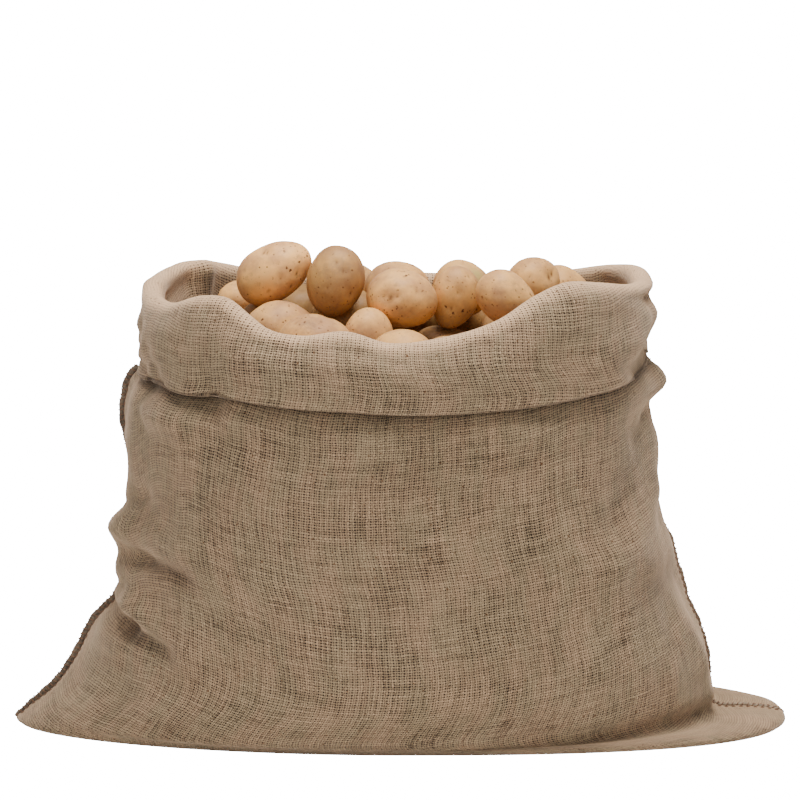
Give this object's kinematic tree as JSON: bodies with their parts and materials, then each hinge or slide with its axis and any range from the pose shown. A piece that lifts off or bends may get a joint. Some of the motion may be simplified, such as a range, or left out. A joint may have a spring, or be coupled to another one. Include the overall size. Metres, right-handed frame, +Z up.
{
  "type": "sack",
  "caption": "open-topped hessian sack standing on its folded bottom, its mouth rolled outwards into a soft cuff, its bottom corners lying out as ears, filled with potatoes to the mouth",
  "frame": {"origin": "on the floor, in the flat base under the middle of the sack, where its bottom fold rests", "axes": "+X along the sack's width to the right-hand ear, front face towards -Y, +Z up out of the mouth"},
  "size_m": [0.6518, 0.3659, 0.4141],
  "materials": {
    "hessian": "coarse open plain weave of undyed jute, dull",
    "twine": "dark jute twine, overcast",
    "potato_skin": "thin tan potato skin, faint sheen, brown specks and eyes",
    "potato_mass": "shaded potato skin, dull"
  },
  "bodies": {
    "root": {"sack_cloth": "hessian", "side_seam_left": "twine", "side_seam_right": "twine", "potato_bed": "potato_mass", "potato_01": "potato_skin", "potato_02": "potato_skin", "potato_03": "potato_skin", "potato_04": "potato_skin", "potato_05": "potato_skin", "potato_06": "potato_skin", "potato_07": "potato_skin", "potato_08": "potato_skin", "potato_09": "potato_skin", "potato_10": "potato_skin", "potato_11": "potato_skin", "potato_12": "potato_skin", "potato_13": "potato_skin", "potato_14": "potato_skin", "potato_15": "potato_skin", "potato_16": "potato_skin", "potato_17": "potato_skin", "potato_18": "potato_skin", "potato_19": "potato_skin", "potato_20": "potato_skin", "potato_21": "potato_skin", "potato_22": "potato_skin", "potato_23": "potato_skin", "potato_24": "potato_skin", "potato_25": "potato_skin", "potato_26": "potato_skin", "potato_27": "potato_skin", "potato_28": "potato_skin", "potato_29": "potato_skin", "potato_30": "potato_skin", "potato_31": "potato_skin", "potato_32": "potato_skin", "potato_33": "potato_skin", "potato_34": "potato_skin", "potato_35": "potato_skin", "potato_36": "potato_skin", "potato_37": "potato_skin", "potato_38": "potato_skin"}
  },
  "joints": []
}
